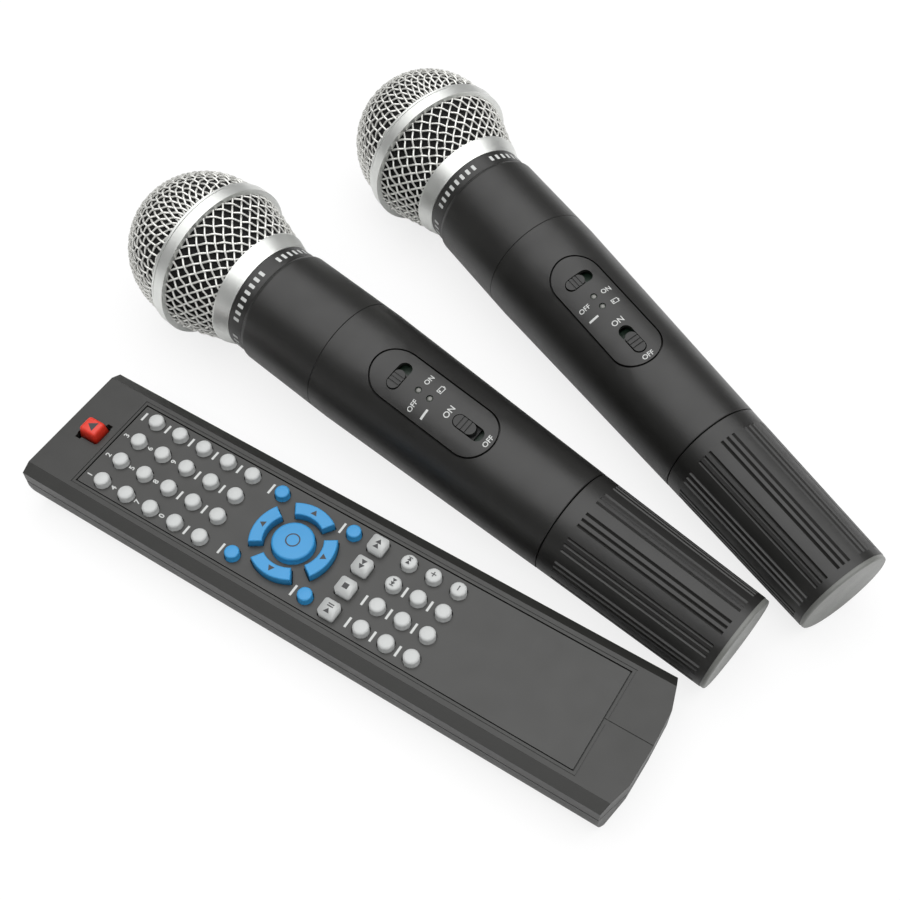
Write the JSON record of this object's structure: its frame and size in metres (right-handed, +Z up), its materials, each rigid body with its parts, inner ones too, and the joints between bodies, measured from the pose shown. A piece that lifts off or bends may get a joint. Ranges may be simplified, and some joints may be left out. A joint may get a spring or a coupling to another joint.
{
  "type": "microphone and remote control set",
  "caption": "Wireless hand microphones with wire ball grilles beside a slim infrared remote control.",
  "frame": {"origin": "middle of the set's outline on the table that it lies on", "axes": "+X along the remote towards its tail, +Y across it towards the microphones, +Z up"},
  "size_m": [0.2674, 0.209, 0.0557],
  "materials": {
    "charcoal_shell": "satin",
    "faceplate": "satin",
    "white_key": "soft",
    "blue_key": "soft",
    "red_key": "soft",
    "keypad_rubber": "matte",
    "circuit_board": "satin",
    "battery_can": "satin",
    "contact_metal": "bright",
    "ir_window": "glossy",
    "screw_steel": "bright",
    "grille_wire": "bright",
    "satin_silver": "satin",
    "foam": "matte",
    "capsule_metal": "satin",
    "mic_black": "satin",
    "switch_black": "satin",
    "end_disc_grey": "satin"
  },
  "bodies": {
    "remote": {"remote_top_shell": "charcoal_shell", "remote_bottom_shell": "charcoal_shell", "remote_faceplate": "faceplate", "remote_circuit_board": "circuit_board", "remote_keypad_mat": "keypad_rubber", "remote_batteries": "battery_can", "remote_battery_contacts": "contact_metal", "remote_ir_lens": "ir_window", "remote_screws": "screw_steel"},
    "battery_door": {"remote_battery_door": "charcoal_shell"},
    "red_key_body": {"red_key": "red_key"},
    "enter_key_body": {"enter_key": "blue_key"},
    "up_arrow_key_body": {"up_arrow_key": "blue_key"},
    "down_arrow_key_body": {"down_arrow_key": "blue_key"},
    "left_arrow_key_body": {"left_arrow_key": "blue_key"},
    "right_arrow_key_body": {"right_arrow_key": "blue_key"},
    "eject_key_body": {"eject_key": "blue_key"},
    "setup_key_body": {"setup_key": "blue_key"},
    "menu_key_body": {"menu_key": "blue_key"},
    "title_key_body": {"title_key": "blue_key"},
    "play_key_body": {"play_key": "white_key"},
    "stop_key_body": {"stop_key": "white_key"},
    "reverse_key_body": {"reverse_key": "white_key"},
    "forward_key_body": {"forward_key": "white_key"},
    "number_keys_row_1_body": {"number_keys_row_1": "white_key"},
    "number_keys_row_2_body": {"number_keys_row_2": "white_key"},
    "number_keys_row_3_body": {"number_keys_row_3": "white_key"},
    "number_keys_row_4_body": {"number_keys_row_4": "white_key"},
    "number_keys_row_5_body": {"number_keys_row_5": "white_key"},
    "function_keys_row_1_body": {"function_keys_row_1": "white_key"},
    "function_keys_row_2_body": {"function_keys_row_2": "white_key"},
    "function_keys_row_3_body": {"function_keys_row_3": "white_key"},
    "mic_a": {"mic_a_head_sleeve": "mic_black", "mic_a_barrel": "mic_black", "mic_a_switch_panel": "mic_black", "mic_a_circuit_board": "circuit_board", "mic_a_batteries": "battery_can", "mic_a_capsule": "capsule_metal"},
    "mic_a_grille": {"mic_a_grille_mesh": "grille_wire", "mic_a_grille_band": "satin_silver", "mic_a_grille_collar": "satin_silver", "mic_a_foam_liner": "foam"},
    "mic_a_grip": {"mic_a_battery_grip": "mic_black", "mic_a_end_disc": "end_disc_grey"},
    "mic_a_power_slider": {"mic_a_power_switch": "switch_black"},
    "mic_a_mute_slider": {"mic_a_mute_switch": "switch_black"},
    "mic_b": {"mic_b_head_sleeve": "mic_black", "mic_b_barrel": "mic_black", "mic_b_switch_panel": "mic_black", "mic_b_circuit_board": "circuit_board", "mic_b_batteries": "battery_can", "mic_b_capsule": "capsule_metal"},
    "mic_b_grille": {"mic_b_grille_mesh": "grille_wire", "mic_b_grille_band": "satin_silver", "mic_b_grille_collar": "satin_silver", "mic_b_foam_liner": "foam"},
    "mic_b_grip": {"mic_b_battery_grip": "mic_black", "mic_b_end_disc": "end_disc_grey"},
    "mic_b_power_slider": {"mic_b_power_switch": "switch_black"},
    "mic_b_mute_slider": {"mic_b_mute_switch": "switch_black"}
  },
  "joints": [
    {"name": "battery_door_slide", "type": "slide", "parent": "remote", "child": "battery_door", "axis": [1, 0, 0], "range_m": [0, 0.05]},
    {"name": "red_key_press", "type": "slide", "parent": "remote", "child": "red_key_body", "axis": [0, 0, -1], "range_m": [0, 0.0009], "stiffness_N_per_m": 600},
    {"name": "enter_key_press", "type": "slide", "parent": "remote", "child": "enter_key_body", "axis": [0, 0, -1], "range_m": [0, 0.0009], "stiffness_N_per_m": 600},
    {"name": "up_arrow_key_press", "type": "slide", "parent": "remote", "child": "up_arrow_key_body", "axis": [0, 0, -1], "range_m": [0, 0.0009], "stiffness_N_per_m": 600},
    {"name": "down_arrow_key_press", "type": "slide", "parent": "remote", "child": "down_arrow_key_body", "axis": [0, 0, -1], "range_m": [0, 0.0009], "stiffness_N_per_m": 600},
    {"name": "left_arrow_key_press", "type": "slide", "parent": "remote", "child": "left_arrow_key_body", "axis": [0, 0, -1], "range_m": [0, 0.0009], "stiffness_N_per_m": 600},
    {"name": "right_arrow_key_press", "type": "slide", "parent": "remote", "child": "right_arrow_key_body", "axis": [0, 0, -1], "range_m": [0, 0.0009], "stiffness_N_per_m": 600},
    {"name": "eject_key_press", "type": "slide", "parent": "remote", "child": "eject_key_body", "axis": [0, 0, -1], "range_m": [0, 0.0009], "stiffness_N_per_m": 600},
    {"name": "setup_key_press", "type": "slide", "parent": "remote", "child": "setup_key_body", "axis": [0, 0, -1], "range_m": [0, 0.0009], "stiffness_N_per_m": 600},
    {"name": "menu_key_press", "type": "slide", "parent": "remote", "child": "menu_key_body", "axis": [0, 0, -1], "range_m": [0, 0.0009], "stiffness_N_per_m": 600},
    {"name": "title_key_press", "type": "slide", "parent": "remote", "child": "title_key_body", "axis": [0, 0, -1], "range_m": [0, 0.0009], "stiffness_N_per_m": 600},
    {"name": "play_key_press", "type": "slide", "parent": "remote", "child": "play_key_body", "axis": [0, 0, -1], "range_m": [0, 0.0009], "stiffness_N_per_m": 600},
    {"name": "stop_key_press", "type": "slide", "parent": "remote", "child": "stop_key_body", "axis": [0, 0, -1], "range_m": [0, 0.0009], "stiffness_N_per_m": 600},
    {"name": "reverse_key_press", "type": "slide", "parent": "remote", "child": "reverse_key_body", "axis": [0, 0, -1], "range_m": [0, 0.0009], "stiffness_N_per_m": 600},
    {"name": "forward_key_press", "type": "slide", "parent": "remote", "child": "forward_key_body", "axis": [0, 0, -1], "range_m": [0, 0.0009], "stiffness_N_per_m": 600},
    {"name": "number_keys_row_1_press", "type": "slide", "parent": "remote", "child": "number_keys_row_1_body", "axis": [0, 0, -1], "range_m": [0, 0.0009], "stiffness_N_per_m": 600},
    {"name": "number_keys_row_2_press", "type": "slide", "parent": "remote", "child": "number_keys_row_2_body", "axis": [0, 0, -1], "range_m": [0, 0.0009], "stiffness_N_per_m": 600},
    {"name": "number_keys_row_3_press", "type": "slide", "parent": "remote", "child": "number_keys_row_3_body", "axis": [0, 0, -1], "range_m": [0, 0.0009], "stiffness_N_per_m": 600},
    {"name": "number_keys_row_4_press", "type": "slide", "parent": "remote", "child": "number_keys_row_4_body", "axis": [0, 0, -1], "range_m": [0, 0.0009], "stiffness_N_per_m": 600},
    {"name": "number_keys_row_5_press", "type": "slide", "parent": "remote", "child": "number_keys_row_5_body", "axis": [0, 0, -1], "range_m": [0, 0.0009], "stiffness_N_per_m": 600},
    {"name": "function_keys_row_1_press", "type": "slide", "parent": "remote", "child": "function_keys_row_1_body", "axis": [0, 0, -1], "range_m": [0, 0.0009], "stiffness_N_per_m": 600},
    {"name": "function_keys_row_2_press", "type": "slide", "parent": "remote", "child": "function_keys_row_2_body", "axis": [0, 0, -1], "range_m": [0, 0.0009], "stiffness_N_per_m": 600},
    {"name": "function_keys_row_3_press", "type": "slide", "parent": "remote", "child": "function_keys_row_3_body", "axis": [0, 0, -1], "range_m": [0, 0.0009], "stiffness_N_per_m": 600},
    {"name": "mic_a_lift", "type": "slide", "parent": "remote", "child": "mic_a", "axis": [0, 0, 1], "range_m": [0, 0.12]},
    {"name": "mic_a_grille_pull", "type": "slide", "parent": "mic_a", "child": "mic_a_grille", "axis": [-0.9866, 0.1527, 0.0577], "range_m": [0, 0.06]},
    {"name": "mic_a_grip_pull", "type": "slide", "parent": "mic_a", "child": "mic_a_grip", "axis": [0.9866, -0.1527, -0.0577], "range_m": [0, 0.06]},
    {"name": "mic_a_power_slide", "type": "slide", "parent": "mic_a", "child": "mic_a_power_slider", "axis": [0.1627, 0.9499, 0.2668], "range_m": [0, 0.0028]},
    {"name": "mic_a_mute_slide", "type": "slide", "parent": "mic_a", "child": "mic_a_mute_slider", "axis": [0.9866, -0.1527, -0.0577], "range_m": [0, 0.0028]},
    {"name": "mic_b_lift", "type": "slide", "parent": "remote", "child": "mic_b", "axis": [0, 0, 1], "range_m": [0, 0.18]},
    {"name": "mic_b_grille_pull", "type": "slide", "parent": "mic_b", "child": "mic_b_grille", "axis": [-0.9159, 0.3973, 0.0577], "range_m": [0, 0.06]},
    {"name": "mic_b_grip_pull", "type": "slide", "parent": "mic_b", "child": "mic_b_grip", "axis": [0.9159, -0.3973, -0.0577], "range_m": [0, 0.06]},
    {"name": "mic_b_power_slide", "type": "slide", "parent": "mic_b", "child": "mic_b_power_slider", "axis": [0.3989, 0.8846, 0.2415], "range_m": [0, 0.0028]},
    {"name": "mic_b_mute_slide", "type": "slide", "parent": "mic_b", "child": "mic_b_mute_slider", "axis": [-0.9159, 0.3973, 0.0577], "range_m": [0, 0.0028]}
  ]
}
